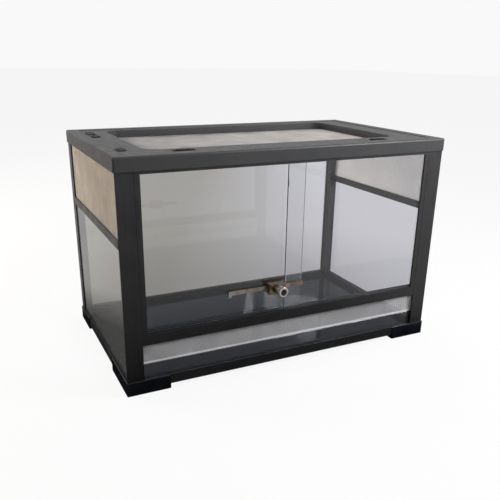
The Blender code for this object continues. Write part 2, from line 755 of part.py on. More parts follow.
def vent_mesh():
    reach = FRONT_POST_INNER + GROOVE_DEPTH - SEAT_GAP
    high = RAIL_BOTTOM + GROOVE_DEPTH - SEAT_GAP
    return mesh_panel(
        "vent_mesh", 2 * reach, high - VENT_BOTTOM, GLASS,
        (0, FRONT_PANE, (VENT_BOTTOM + high) / 2), ALONG_Y,
    )


# Levels of the flat slot that a latch's tongue slides in
def latch_slot_levels():
    low = LID_UNDERSIDE + LATCH_FLOOR
    return low, low + LATCH_THICKNESS + 2 * SEAT_GAP


def capsule(centre_x, centre_y, width, length):
    half_width, half_length = width / 2, length / 2
    return rounded_rectangle(
        centre_x - half_width, centre_y - half_length, centre_x + half_width, centre_y + half_length,
        half_width * 0.999, 6,
    )


# Name, middle and length of each cable inlet
INLETS = (
    ("front", FRONT + FRONT_INLET_FROM_FRONT, FRONT_INLET_LENGTH),
    ("middle", BACK - MIDDLE_INLET_FROM_BACK, MIDDLE_INLET_LENGTH),
    ("back", BACK - BACK_INLET_FROM_BACK, BACK_INLET_LENGTH),
)


# Lid: a flat margin round a sunken well with round corners, whose lip carries the mesh from below
def lid_frame():
    plate = block("lid_frame", (-LID_SIDE, LID_FRONT, LID_UNDERSIDE), (LID_SIDE, LID_BACK, LID_TOP))

    def well(name, grow, low, high):
        loop = rounded_rectangle(
            -WELL_HALF_WIDTH - grow, WELL_FRONT - grow, WELL_HALF_WIDTH + grow, WELL_BACK + grow,
            WELL_CORNER + grow, 5,
        )
        return outline_mesh(name, [loop], high - low, (0, 0, (low + high) / 2))

    join(plate, well("add_well", WELL_WALL, WELL_BOTTOM, LID_TOP - LID_THICKNESS / 2))
    cut(
        plate,
        as_helper(well("cut_well", 0, WELL_BOTTOM + WELL_LIP_THICKNESS, LID_TOP + OVERSHOOT)),
        as_helper(well("cut_well_floor", -WELL_LIP, WELL_BOTTOM - OVERSHOOT, LID_TOP)),
    )
    low, high = latch_slot_levels()
    pocket_near = FRONT + LATCH_POCKET_MARGIN
    pocket_far = pocket_near + LATCH_POCKET_LENGTH
    for side, across in (("left", -1), ("right", 1)):
        centre = across * LATCH_X
        half = LATCH_POCKET_WIDTH / 2
        slot = LATCH_WIDTH / 2 + SEAT_GAP
        cut(
            plate,
            box_cutter(
                f"cut_latch_pocket_{side}", (centre - half, pocket_near, low),
                (centre + half, pocket_far, LID_TOP + OVERSHOOT),
            ),
            box_cutter(
                f"cut_latch_slot_{side}", (centre - slot, LID_FRONT - OVERSHOOT, low),
                (centre + slot, pocket_near + LATCH_TRAVEL, high),
            ),
        )
    for name, middle, length in INLETS:
        loop = capsule(INLET_X, middle, INLET_WIDTH, length)
        hole = outline_mesh(f"cut_inlet_{name}", [loop], 3 * LID_THICKNESS, (0, 0, LID_TOP))
        cut(plate, as_helper(hole))
    return finish_part(plate, CHARCOAL)


def lid_mesh():
    width = 2 * (WELL_HALF_WIDTH + WELL_WALL)
    length = WELL_BACK - WELL_FRONT + 2 * WELL_WALL
    return mesh_panel(
        "lid_mesh", width, length, LID_HEM_THICKNESS,
        (0, (WELL_FRONT + WELL_BACK) / 2, WELL_BOTTOM - SEAT_GAP - LID_HEM_THICKNESS / 2),
    )


# Sliding latch, drawn back: a side profile of a flat tongue and a thumb block with ribs across its top
def lid_latch(name, across):
    low = latch_slot_levels()[0] + SEAT_GAP
    tip = LID_FRONT + LID_EDGE_GAP
    tongue_top = low + LATCH_THICKNESS
    thumb_top = HEIGHT - SEAT_GAP
    thumb_far = FRONT + LATCH_POCKET_MARGIN + LATCH_POCKET_LENGTH - THUMB_MARGIN
    loop = [(tip, low), (thumb_far, low)]
    step = THUMB_LENGTH / (2 * THUMB_RIBS - 1)
    for rib in range(THUMB_RIBS):
        crest = thumb_far - 2 * rib * step
        valley = crest - step
        loop += [(crest, thumb_top), (valley, thumb_top)]
        if rib < THUMB_RIBS - 1:
            loop += [(valley, thumb_top - THUMB_RIB_DEPTH), (valley - step, thumb_top - THUMB_RIB_DEPTH)]
    loop += [(thumb_far - THUMB_LENGTH, tongue_top), (tip, tongue_top)]
    latch = outline_curve(name, [loop], LATCH_WIDTH, (across * LATCH_X, 0, 0), ALONG_X)
    return finish_part(latch, RUBBER)


# Rubber plug: a short stem in the inlet under a thin oval head
def cable_plug(name, middle, length):
    head_low = LID_TOP + SEAT_GAP
    head_middle = head_low + PLUG_HEAD_THICKNESS / 2
    stem_low = head_low - PLUG_STEM
    stem = outline_mesh(
        f"cable_plug_{name}",
        [capsule(0, 0, INLET_WIDTH - 2 * SEAT_GAP, length - 2 * SEAT_GAP)],
        head_middle - stem_low, (INLET_X, middle, (head_middle + stem_low) / 2),
    )
    join(stem, outline_mesh(
        f"add_plug_head_{name}",
        [capsule(0, 0, INLET_WIDTH + 2 * PLUG_HEAD_RIM, length + 2 * PLUG_HEAD_RIM)],
        PLUG_HEAD_THICKNESS, (INLET_X, middle, head_middle),
    ))
    return finish_part(stem, RUBBER)


# Toothed bar between the doors, its end turned round the rear door's edge
def lock_bar():
    hook_inner = LEFT_DOOR_EDGE + SEAT_GAP
    right = hook_inner + BAR_THICKNESS
    left = right - BAR_LENGTH
    bottom = LOCK_Z - BAR_HEIGHT / 2
    tab_bottom = bottom - BAR_TAB_DROP
    near = BAR_Y - BAR_THICKNESS / 2
    far = near + BAR_THICKNESS
    rear_face = REAR_DOOR + GLASS / 2 + SEAT_GAP
    hook_end = hook_inner - HOOK_RETURN
    plan = [
        (left, near), (right, near), (right, rear_face + BAR_THICKNESS),
        (hook_end, rear_face + BAR_THICKNESS), (hook_end, rear_face), (hook_inner, rear_face),
        (hook_inner, far), (left, far),
    ]
    height = BAR_HEIGHT + BAR_TAB_DROP
    bar = outline_mesh("lock_bar", [plan], height, (0, 0, tab_bottom + height / 2))
    tab_right = left + BAR_TAB_LENGTH
    teeth = [(tab_right, tab_bottom - OVERSHOOT), (tab_right, bottom)]
    count = int((HOUSING_RIGHT - tab_right) / TOOTH_PITCH)
    for tooth in range(1, count):
        start = tab_right + tooth * TOOTH_PITCH
        teeth.append((start, bottom))
        teeth.append((start + TOOTH_PITCH / 5, bottom + TOOTH_DEPTH))
    teeth.append((tab_right + count * TOOTH_PITCH, bottom))
    teeth += [(right + OVERSHOOT, bottom), (right + OVERSHOOT, tab_bottom - OVERSHOOT)]
    cutter = outline_mesh("cut_lock_teeth", [teeth], 4 * OVERSHOOT, (0, BAR_Y, 0), ALONG_Y)
    cut(bar, as_helper(cutter))
    return finish_part(bar, STEEL)


def cylinder_along_y(name, radius, near, far, x, z, segments, edge=0.0):
    bm = bmesh.new()
    bmesh.ops.create_cone(
        bm, cap_ends=True, segments=segments, radius1=radius, radius2=radius, depth=far - near,
    )
    bmesh.ops.rotate(bm, verts=bm.verts, cent=(0, 0, 0), matrix=Matrix.Rotation(math.pi / 2, 3, "X"))
    if edge:
        near_rim = [e for e in bm.edges if all(v.co.y < (near - far) / 2 + 1e-6 for v in e.verts)]
        bmesh.ops.bevel(bm, geom=near_rim, offset=edge, segments=2, profile=0.5, affect="EDGES")
    return mesh_object(name, bm, (x, (near + far) / 2, z))


# Lock: a housing that the bar passes through and a round barrel standing out of it
def lock_body():
    near = HOUSING_BACK - HOUSING_DEPTH
    housing = block(
        "lock_body", (HOUSING_LEFT, near, LOCK_Z - HOUSING_BELOW),
        (HOUSING_RIGHT, HOUSING_BACK, LOCK_Z + HOUSING_ABOVE), lambda edge: True, HOUSING_EDGE / 2, 1,
    )
    join(housing, cylinder_along_y(
        "add_barrel", BARREL_RADIUS, LOCK_FRONT + SEAT_GAP, near + HOUSING_DEPTH / 2,
        BARREL_X, BARREL_Z, 32, HOUSING_EDGE,
    ))
    slot_near = BAR_Y - BAR_THICKNESS / 2 - SEAT_GAP
    cut(
        housing,
        box_cutter(
            "cut_bar_slot",
            (HOUSING_LEFT - OVERSHOOT, slot_near, LOCK_Z - BAR_HEIGHT / 2 - BAR_TAB_DROP - SEAT_GAP),
            (HOUSING_RIGHT + OVERSHOOT, HOUSING_BACK - HOUSING_BACK_WALL, LOCK_Z + BAR_HEIGHT / 2 + SEAT_GAP),
        ),
        as_helper(cylinder_along_y(
            "cut_plug_bore", PLUG_RADIUS + PLUG_PLAY, LOCK_FRONT - OVERSHOOT,
            LOCK_FRONT + PLUG_LENGTH + SEAT_GAP, BARREL_X, BARREL_Z, 24,
        )),
    )
    return finish_part(housing, CHROME)


# Key plug, turning in the barrel, with its keyway upright
def lock_plug():
    plug = cylinder_along_y(
        "lock_plug", PLUG_RADIUS, LOCK_FRONT, LOCK_FRONT + PLUG_LENGTH, BARREL_X, BARREL_Z, 24,
    )
    cut(plug, box_cutter(
        "cut_keyway",
        (BARREL_X - KEYWAY_WIDTH / 2, LOCK_FRONT - OVERSHOOT, BARREL_Z - KEYWAY_HEIGHT / 2),
        (BARREL_X + KEYWAY_WIDTH / 2, LOCK_FRONT + KEYWAY_DEPTH, BARREL_Z + KEYWAY_HEIGHT / 2),
    ))
    return finish_part(plug, BRASS)


def build():
    top_frame()
    bottom_frame()
    floor_glass()
    for side, across in (("left", -1), ("right", 1)):
        foot(f"foot_front_{side}", across, -1, FRONT_FOOT_LEG_Y)
        foot(f"foot_back_{side}", across, 1, BACK_FOOT_LEG_Y)
        front_post(f"post_front_{side}", across)
        back_post(f"post_back_{side}", across)
        jamb(f"jamb_{side}", across)
        side_glass(f"side_glass_{side}", across)
        side_rail(f"side_rail_{side}", across)
        side_mesh(f"side_mesh_{side}", across)
        lid_latch(f"lid_latch_{side}", across)
    front_rail()
    top_track()
    lower_front_glass()
    vent_mesh()
    back_glass()
    door("left_door_glass", -DOOR_SPAN, LEFT_DOOR_EDGE, REAR_DOOR)
    door("right_door_glass", RIGHT_DOOR_EDGE, DOOR_SPAN, FRONT_DOOR)
    lock_bar()
    lock_body()
    lock_plug()
    lid_frame()
    lid_mesh()
    for name, middle, length in INLETS:
        cable_plug(name, middle, length)


build()
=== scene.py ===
import math

import bmesh
import bpy
from mathutils import Matrix, Vector


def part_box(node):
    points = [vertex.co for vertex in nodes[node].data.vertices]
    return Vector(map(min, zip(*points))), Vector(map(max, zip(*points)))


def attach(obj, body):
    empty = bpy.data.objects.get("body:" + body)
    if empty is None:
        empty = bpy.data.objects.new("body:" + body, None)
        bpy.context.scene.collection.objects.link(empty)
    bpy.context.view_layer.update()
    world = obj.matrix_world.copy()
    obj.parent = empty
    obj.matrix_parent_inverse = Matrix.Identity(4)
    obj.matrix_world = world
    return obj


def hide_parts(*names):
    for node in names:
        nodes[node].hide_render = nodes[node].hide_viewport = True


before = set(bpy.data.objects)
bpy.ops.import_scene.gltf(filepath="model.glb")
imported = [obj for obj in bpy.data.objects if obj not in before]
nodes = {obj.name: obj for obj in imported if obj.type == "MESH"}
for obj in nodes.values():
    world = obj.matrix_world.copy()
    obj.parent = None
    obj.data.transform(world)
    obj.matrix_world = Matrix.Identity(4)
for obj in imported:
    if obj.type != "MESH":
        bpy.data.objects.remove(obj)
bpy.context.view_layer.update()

print("frame loaded:", len(nodes), "nodes")


# Shared tools. Noise is given everywhere as its scale, detail and roughness

def shaderTree(name):
    material = bpy.data.materials.new(name)
    material.use_nodes = True
    tree = material.node_tree
    return material, tree, tree.nodes["Principled BSDF"]


def addNode(tree, kind, **values):
    node = tree.nodes.new(kind)
    for key, value in values.items():
        if key in node.inputs:
            node.inputs[key].default_value = value
        else:
            setattr(node, key, value)
    return node


def objectCoords(tree, scale=(1, 1, 1), rotation=(0, 0, 0)):
    coords = addNode(tree, "ShaderNodeTexCoord")
    mapping = addNode(tree, "ShaderNodeMapping")
    mapping.inputs["Scale"].default_value = scale
    mapping.inputs["Rotation"].default_value = rotation
    tree.links.new(coords.outputs["Object"], mapping.inputs["Vector"])
    return mapping.outputs["Vector"]


def noiseFactor(tree, vector, scale, detail, roughness):
    noise = addNode(tree, "ShaderNodeTexNoise", Scale=scale, Detail=detail, Roughness=roughness)
    tree.links.new(vector, noise.inputs["Vector"])
    return noise.outputs["Fac"]


# Most noise lies between 0.35 and 0.65, so that is stretched to low and high
def spread(tree, factor, low, high, fromLow=0.35, fromHigh=0.65):
    span = addNode(tree, "ShaderNodeMapRange")
    span.inputs["From Min"].default_value = fromLow
    span.inputs["From Max"].default_value = fromHigh
    span.inputs["To Min"].default_value = low
    span.inputs["To Max"].default_value = high
    tree.links.new(factor, span.inputs["Value"])
    return span.outputs["Result"]


# A colour ramp through stops of a position from 0 to 1 and a colour
def rampColours(tree, factor, stops):
    ramp = addNode(tree, "ShaderNodeValToRGB")
    elements = ramp.color_ramp.elements
    for position, colour in stops[2:]:
        elements.new(position)
    for element, (position, colour) in zip(elements, stops):
        element.position = position
        element.color = (*colour, 1)
    tree.links.new(factor, ramp.inputs["Fac"])
    return ramp.outputs["Color"]


# The first colour up to the start of the step and the second from its end on
def blendColours(tree, factor, first, second, step=(0.3, 0.7)):
    return rampColours(tree, factor, ((step[0], first), (step[1], second)))


def scaleColour(tree, colour, factor):
    scaled = addNode(tree, "ShaderNodeVectorMath", operation="SCALE")
    tree.links.new(colour, scaled.inputs[0])
    tree.links.new(factor, scaled.inputs["Scale"])
    return scaled.outputs["Vector"]


def alongAxis(tree, vector, axis):
    split = addNode(tree, "ShaderNodeSeparateXYZ")
    tree.links.new(vector, split.inputs[0])
    return split.outputs[axis]


def addBump(tree, shader, height, strength, distance):
    bump = addNode(tree, "ShaderNodeBump", Strength=strength, Distance=distance)
    tree.links.new(height, bump.inputs["Height"])
    tree.links.new(bump.outputs["Normal"], shader.inputs["Normal"])


def paint(names, material):
    for name in names:
        for slot in nodes[name].material_slots:
            slot.material = material


def pieceFromMesh(name, bm, materials):
    mesh = bpy.data.meshes.new(name)
    bm.to_mesh(mesh)
    bm.free()
    for material in materials:
        mesh.materials.append(material)
    piece = bpy.data.objects.new(name, mesh)
    bpy.context.scene.collection.objects.link(piece)
    return piece


# Finishes

charcoalPlastic = {
    "dark": (0.038, 0.038, 0.040), "light": (0.052, 0.051, 0.052), "gloss": 0.5, "roughness": (0.42, 0.56),
}
blackPlastic = {
    "dark": (0.008, 0.008, 0.009), "light": (0.014, 0.014, 0.015), "gloss": 0.3, "roughness": (0.42, 0.58),
}
plasticSkin = {
    "mottle": (14, 5, 0.6), "scuffs": (60, 6, 0.7), "grain": (1500, 2, 0.5),
    "grainStrength": 0.35, "grainDepth": 0.00012,
}


def makeMouldedPlastic(look, name):
    skin = plasticSkin
    material, tree, shader = shaderTree(name)
    where = objectCoords(tree)
    mottle = noiseFactor(tree, where, *skin["mottle"])
    tree.links.new(blendColours(tree, mottle, look["dark"], look["light"]), shader.inputs["Base Color"])
    scuffs = noiseFactor(tree, where, *skin["scuffs"])
    tree.links.new(spread(tree, scuffs, *look["roughness"]), shader.inputs["Roughness"])
    grain = noiseFactor(tree, where, *skin["grain"])
    addBump(tree, shader, grain, skin["grainStrength"], skin["grainDepth"])
    shader.inputs["Specular IOR Level"].default_value = look["gloss"]
    return material


# The extrusions are darker towards the foot and lighter towards the head: painted shade below and painted
# light from above
coatedMetal = {
    "dark": (0.023, 0.023, 0.025), "light": (0.033, 0.032, 0.034), "roughness": (0.33, 0.46),
    "paintedShadeBelow": 0.03, "paintedLightAbove": 0.36, "paintedShadeLevel": 0.25, "paintedLightLevel": 1.15,
    "drawn": (260, 260, 3), "streaks": (1.0, 3, 0.5), "wear": (45, 5, 0.6), "grain": (700, 2, 0.5),
    "grainStrength": 0.2, "grainDepth": 0.0001,
}


def makeCoatedMetal(look):
    material, tree, shader = shaderTree("charcoal coated extrusion")
    where = objectCoords(tree)
    streaks = noiseFactor(tree, objectCoords(tree, look["drawn"]), *look["streaks"])
    coat = blendColours(tree, streaks, look["dark"], look["light"])
    # Painted shade and light: the coat's colour is dimmed at the foot and brightened at the head
    level = spread(
        tree, alongAxis(tree, where, "Z"), look["paintedShadeLevel"], look["paintedLightLevel"],
        look["paintedShadeBelow"], look["paintedLightAbove"],
    )
    tree.links.new(scaleColour(tree, coat, level), shader.inputs["Base Color"])
    wear = noiseFactor(tree, where, *look["wear"])
    tree.links.new(spread(tree, wear, *look["roughness"]), shader.inputs["Roughness"])
    grain = noiseFactor(tree, where, *look["grain"])
    addBump(tree, shader, grain, look["grainStrength"], look["grainDepth"])
    return material


paneGlass = {
    "clear": (0.93, 0.935, 0.945), "shadow": (0.90, 0.90, 0.91), "refraction": 1.5,
    "roughness": (0.0, 0.03), "smudges": (22, 6, 0.65), "smudgeRange": (0.55, 0.8),
}


# Lamps shine through the panes: a shadow ray meets a plain tinted film in place of the glass
def makePaneGlass(look):
    material, tree, shader = shaderTree("clear pane glass")
    shader.inputs["Base Color"].default_value = (*look["clear"], 1)
    shader.inputs["Transmission Weight"].default_value = 1.0
    shader.inputs["IOR"].default_value = look["refraction"]
    smudges = noiseFactor(tree, objectCoords(tree), *look["smudges"])
    tree.links.new(
        spread(tree, smudges, *look["roughness"], *look["smudgeRange"]), shader.inputs["Roughness"],
    )
    path = addNode(tree, "ShaderNodeLightPath")
    film = addNode(tree, "ShaderNodeBsdfTransparent")
    film.inputs["Color"].default_value = (*look["shadow"], 1)
    mix = addNode(tree, "ShaderNodeMixShader")
    tree.links.new(path.outputs["Is Shadow Ray"], mix.inputs[0])
    tree.links.new(shader.outputs["BSDF"], mix.inputs[1])
    tree.links.new(film.outputs["BSDF"], mix.inputs[2])
    tree.links.new(mix.outputs["Shader"], tree.nodes["Material Output"].inputs["Surface"])
    return material


floorGlass = {
    "colour": (0.002, 0.0025, 0.004), "dusty": (0.009, 0.0095, 0.012), "gloss": 0.32,
    "roughness": (0.02, 0.10), "dust": (30, 8, 0.7), "dustRange": (0.4, 0.8),
}


def makeFloorGlass(look):
    material, tree, shader = shaderTree("black floor glass")
    dust = noiseFactor(tree, objectCoords(tree), *look["dust"])
    tree.links.new(blendColours(tree, dust, look["colour"], look["dusty"]), shader.inputs["Base Color"])
    tree.links.new(spread(tree, dust, *look["roughness"], *look["dustRange"]), shader.inputs["Roughness"])
    shader.inputs["Specular IOR Level"].default_value = look["gloss"]
    return material


beigeWire = {"dark": (0.66, 0.60, 0.53), "light": (0.84, 0.78, 0.70), "roughness": (0.35, 0.5)}
# The right net is the same wire as the left, painted paler: painted light falling through it from the window
# side
paintedLightWire = {"dark": (0.93, 0.91, 0.90), "light": (0.98, 0.97, 0.95), "roughness": (0.35, 0.5)}
coolWire = {"dark": (0.80, 0.78, 0.78), "light": (0.95, 0.94, 0.96), "roughness": (0.35, 0.5)}
dullWire = {"dark": (0.52, 0.51, 0.51), "light": (0.70, 0.69, 0.69), "roughness": (0.4, 0.55)}
paintedShadeGrey = {"dark": (0.10, 0.10, 0.11), "light": (0.17, 0.17, 0.18), "roughness": (0.4, 0.55)}
wireSkin = {"tone": (25, 5, 0.6), "metal": 0.15}


def makeWireSteel(look, name):
    material, tree, shader = shaderTree(name)
    tone = noiseFactor(tree, objectCoords(tree), *wireSkin["tone"])
    tree.links.new(blendColours(tree, tone, look["dark"], look["light"]), shader.inputs["Base Color"])
    shader.inputs["Metallic"].default_value = wireSkin["metal"]
    tree.links.new(spread(tree, tone, *look["roughness"]), shader.inputs["Roughness"])
    return material


dullRubber = {
    "dark": (0.004, 0.004, 0.0045), "light": (0.009, 0.009, 0.010), "roughness": (0.5, 0.7), "gloss": 0.2,
}
footRubber = {
    "dark": (0.004, 0.005, 0.007), "light": (0.008, 0.010, 0.014), "roughness": (0.16, 0.26), "gloss": 0.6,
}
rubberSkin = {"bloom": (40, 5, 0.6), "grain": (900, 2, 0.5), "grainStrength": 0.3, "grainDepth": 0.0001}


def makeRubber(look, name):
    skin = rubberSkin
    material, tree, shader = shaderTree(name)
    where = objectCoords(tree)
    bloom = noiseFactor(tree, where, *skin["bloom"])
    tree.links.new(blendColours(tree, bloom, look["dark"], look["light"]), shader.inputs["Base Color"])
    tree.links.new(spread(tree, bloom, *look["roughness"]), shader.inputs["Roughness"])
    shader.inputs["Specular IOR Level"].default_value = look["gloss"]
    grain = noiseFactor(tree, where, *skin["grain"])
    addBump(tree, shader, grain, skin["grainStrength"], skin["grainDepth"])
    return material


# The lock's parts change colour along one axis: stops are places in metres with their colour
barLook = {
    "axis": "X", "from": -0.12, "to": 0.025, "roughness": (0.22, 0.38), "scratch": 0.3,
    # The bar's stops turn dark brown from x = 0 on, behind the door glass: partly its own rust colour, partly
    # painted shade
    "stops": (
        (-0.118, (0.82, 0.80, 0.76)), (-0.108, (0.62, 0.54, 0.45)), (-0.05, (0.40, 0.31, 0.24)),
        (-0.018, (0.50, 0.40, 0.30)), (0.0, (0.17, 0.10, 0.065)), (0.022, (0.26, 0.17, 0.12)),
    ),
}
bodyLook = {
    "axis": "Y", "from": -0.19, "to": -0.15, "roughness": (0.08, 0.20), "scratch": 0.08,
    "stops": ((-0.1720, (0.86, 0.85, 0.84)), (-0.1700, (0.26, 0.18, 0.12)), (-0.160, (0.36, 0.26, 0.18))),
}
plugLook = {
    "axis": "Y", "from": -0.19, "to": -0.15, "roughness": (0.25, 0.4), "scratch": 0.2,
    "stops": ((-0.188, (0.10, 0.06, 0.04)), (-0.16, (0.20, 0.13, 0.08))),
}
metalSkin = {
    "tone": (90, 5, 0.6), "worn": (0.75, 1.1), "brushed": (40, 900, 900), "scratches": (1.0, 3, 0.5),
    "scratchDepth": 0.00005,
}


def makeMetal(look, name):
    skin = metalSkin
    start, end = look["from"], look["to"]
    material, tree, shader = shaderTree(name)
    where = objectCoords(tree)
    along = spread(tree, alongAxis(tree, where, look["axis"]), 0.0, 1.0, start, end)
    stops = [((spot - start) / (end - start), colour) for spot, colour in look["stops"]]
    plating = rampColours(tree, along, stops)
    tone = noiseFactor(tree, where, *skin["tone"])
    worn = scaleColour(tree, plating, spread(tree, tone, *skin["worn"]))
    tree.links.new(worn, shader.inputs["Base Color"])
    shader.inputs["Metallic"].default_value = 1.0
    tree.links.new(spread(tree, tone, *look["roughness"]), shader.inputs["Roughness"])
    scratches = noiseFactor(tree, objectCoords(tree, skin["brushed"]), *skin["scratches"])
    addBump(tree, shader, scratches, look["scratch"], skin["scratchDepth"])
    return material


moulded = makeMouldedPlastic(charcoalPlastic, "charcoal plastic")
blackMoulded = makeMouldedPlastic(blackPlastic, "black plastic")
coated = makeCoatedMetal(coatedMetal)
glass = makePaneGlass(paneGlass)
blackGlass = makeFloorGlass(floorGlass)
rubber = makeRubber(dullRubber, "black rubber")
shoeRubber = makeRubber(footRubber, "glossy black rubber")

sides = ("left", "right")
corners = [f"{end}_{side}" for end in ("front", "back") for side in sides]
paint(["top_frame", "lid_frame"], moulded)
paint(["bottom_frame"], blackMoulded)
paint(["front_rail", "top_track"] + [f"post_{corner}" for corner in corners], coated)
paint([f"{piece}_{side}" for piece in ("jamb", "side_rail") for side in sides], coated)
paint(["lower_front_glass", "back_glass", "left_door_glass", "right_door_glass"], glass)
paint([f"side_glass_{side}" for side in sides], glass)
paint(["floor_glass"], blackGlass)
paint([f"foot_{corner}" for corner in corners], shoeRubber)
paint([f"lid_latch_{side}" for side in sides], rubber)
paint([f"cable_plug_{place}" for place in ("front", "middle", "back")], rubber)
paint(["lock_bar"], makeMetal(barLook, "bronzed steel"))
paint(["lock_body"], makeMetal(bodyLook, "chrome and bronze"))
paint(["lock_plug"], makeMetal(plugLook, "dark brass"))
print("finishes assigned")


# Mesh panels

meshPanel = {
    "pitch": 0.0016, "wire": 0.00055, "sides": 6,
    "layer": 0.00022,  # how far the wires of each direction lie off the middle
    "hem": 0.003, "hemThickness": 0.0012, "ribLevel": -0.0006,
}
# Ribs stand in for the nets' shadow and reflection; the vent's dark ribs are painted shade
sideRibs = {"pitch": 0.00125, "turn": 4, "wire": 0.00055, "dark": False}
ventRibs = {"pitch": 0.0044, "turn": 14, "wire": 0.0014, "dark": True}
paintedShadeRibWire = makeWireSteel(paintedShadeGrey, "grey wire painted shade")


def layWires(bm, span, length, pitch, wire, alongX, level, turn=0):
    stand = Matrix.Rotation(math.pi / 2, 4, "Y" if alongX else "X")
    lay = Matrix.Rotation(math.radians(turn), 4, "Z")
    count = round(span / pitch)
    for step in range(1, count):
        offset = (step / count - 0.5) * span
        spot = (0, offset, level) if alongX else (offset, 0, level)
        bmesh.ops.create_cone(
            bm, segments=meshPanel["sides"], radius1=wire / 2, radius2=wire / 2,
            depth=length, matrix=lay @ Matrix.Translation(spot) @ stand,
        )


def trimToSize(bm, width, height):
    for point, normal in (
        ((width / 2, 0, 0), (1, 0, 0)), ((-width / 2, 0, 0), (-1, 0, 0)),
        ((0, height / 2, 0), (0, 1, 0)), ((0, -height / 2, 0), (0, -1, 0)),
    ):
        everything = bm.verts[:] + bm.edges[:] + bm.faces[:]
        bmesh.ops.bisect_plane(bm, geom=everything, plane_co=point, plane_no=normal, clear_outer=True)


# Slanting ribs of a second sheet behind the net, which give it its ripples: the sheet stands in for the net's
# own shadow and reflection, and on the vent its ribs are dark, painted shade
def addShadowAndReflectionRibs(bm, spanX, spanY, ribs):
    slant = math.radians(ribs["turn"])
    reach = spanX + spanY * math.sin(slant)
    length = (spanY + spanX * math.sin(slant)) / math.cos(slant)
    layWires(bm, reach, length, ribs["pitch"], ribs["wire"], False, meshPanel["ribLevel"], ribs["turn"])
    trimToSize(bm, spanX, spanY)
    for face in bm.faces:
        face.material_index = 1 if ribs["dark"] else 0


# A flat rim round the net: a sheet inset, emptied and thickened
def addHem(bm, width, height):
    look = meshPanel
    sheet = bmesh.ops.create_grid(bm, x_segments=1, y_segments=1, size=0.5)
    bmesh.ops.scale(bm, vec=(width, height, 1), verts=sheet["verts"])
    middle = sheet["verts"][0].link_faces[0]
    ring = bmesh.ops.inset_individual(bm, faces=[middle], thickness=look["hem"], use_even_offset=True)
    bmesh.ops.delete(bm, geom=[middle], context="FACES")
    raised = bmesh.ops.extrude_face_region(bm, geom=ring["faces"], use_keep_orig=True)
    top = [item for item in raised["geom"] if isinstance(item, bmesh.types.BMVert)]
    bottom = {vert for face in ring["faces"] for vert in face.verts}
    bmesh.ops.translate(bm, vec=(0, 0, look["hemThickness"] / 2), verts=top)
    bmesh.ops.translate(bm, vec=(0, 0, -look["hemThickness"] / 2), verts=list(bottom))
    bmesh.ops.reverse_faces(bm, faces=ring["faces"])


flatUp = Matrix.Identity(4)
standAlongX = Matrix.Rotation(math.pi / 2, 4, "X")
standAlongY = Matrix.Rotation(math.pi / 2, 4, "Z") @ standAlongX

# Each net with the node it stands for, the turn that sets it in place and its width's and height's axes
nets = {
    "net_lid": {
        "node": "lid_mesh", "body": "lid", "turn": flatUp, "axes": (0, 1),
        "finish": (dullWire, "dull wire"), "ribs": None,
    },
    "net_side_left": {
        "node": "side_mesh_left", "body": "cabinet", "turn": standAlongY, "axes": (1, 2),
        "finish": (beigeWire, "beige wire"), "ribs": sideRibs,
    },
    # Painted light: the right net gets a paler copy of the side wire
    "net_side_right": {
        "node": "side_mesh_right", "body": "cabinet", "turn": standAlongY, "axes": (1, 2),
        "finish": (paintedLightWire, "pale wire with painted light"), "ribs": sideRibs,
    },
    "net_vent": {
        "node": "vent_mesh", "body": "cabinet", "turn": standAlongX, "axes": (0, 2),
        "finish": (coolWire, "cool grey wire painted shade"), "ribs": ventRibs,
    },
}


# Wires lying both ways in a hem, made in the XY plane and then put in place
def wireNet(name, look):
    panel, ribs = meshPanel, look["ribs"]
    low, high = (Vector(corner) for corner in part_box(look["node"]))
    width, height = ((high - low)[axis] for axis in look["axes"])
    spanX, spanY = width - panel["hem"], height - panel["hem"]
    bm = bmesh.new()
    if ribs:
        addShadowAndReflectionRibs(bm, spanX, spanY, ribs)
    layWires(bm, spanX, spanY, panel["pitch"], panel["wire"], False, panel["layer"])
    layWires(bm, spanY, spanX, panel["pitch"], panel["wire"], True, -panel["layer"])
    for face in bm.faces:
        face.smooth = len(face.verts) == 4
    addHem(bm, width, height)
    place = Matrix.Translation((high + low) / 2) @ look["turn"]
    bmesh.ops.transform(bm, matrix=place, verts=bm.verts)
    finishes = [makeWireSteel(*look["finish"])]
    if ribs and ribs["dark"]:
        finishes.append(paintedShadeRibWire)
    net = pieceFromMesh(name, bm, finishes)
    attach(net, look["body"])
    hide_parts(look["node"])


for name, look in nets.items():
    wireNet(name, look)
print("mesh panels made")


# Rounded top edges

roundedEdge = {
    "width": 0.0011, "segments": 3, "sharp": 35, "below": 0.0001,
    "strip": 0.002,  # faces narrower than this are part of a curve and shade smooth
    "weld": 0.00001, "flat": 1,
}


# A CAD piece again, with the sharp edges of its top rounded as the mould leaves them
def roundTopEdges(node, body, material):
    look = roundedEdge
    sharp = math.radians(look["sharp"])
    bm = bmesh.new()
    bm.from_mesh(nodes[node].data)
    bmesh.ops.remove_doubles(bm, verts=bm.verts, dist=look["weld"])
    bmesh.ops.dissolve_limit(bm, angle_limit=math.radians(look["flat"]), verts=bm.verts, edges=bm.edges)
    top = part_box(node)[1][2] - look["below"]
    rims = [
        edge for edge in bm.edges
        if min(vert.co.z for vert in edge.verts) > top and edge.calc_face_angle(0) > sharp
    ]
    bmesh.ops.bevel(
        bm, geom=rims, offset=look["width"], offset_type="OFFSET", segments=look["segments"], profile=0.5,
        affect="EDGES", clamp_overlap=False, material=-1,
    )
    for face in bm.faces:
        longest = max(edge.calc_length() for edge in face.edges)
        face.smooth = face.calc_area() / longest < look["strip"]
    for edge in bm.edges:
        edge.smooth = edge.calc_face_angle(0) < sharp
    piece = pieceFromMesh("rounded_" + node, bm, [material])
    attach(piece, body)
    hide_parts(node)
    print("rounded", node, "edges", len(rims))


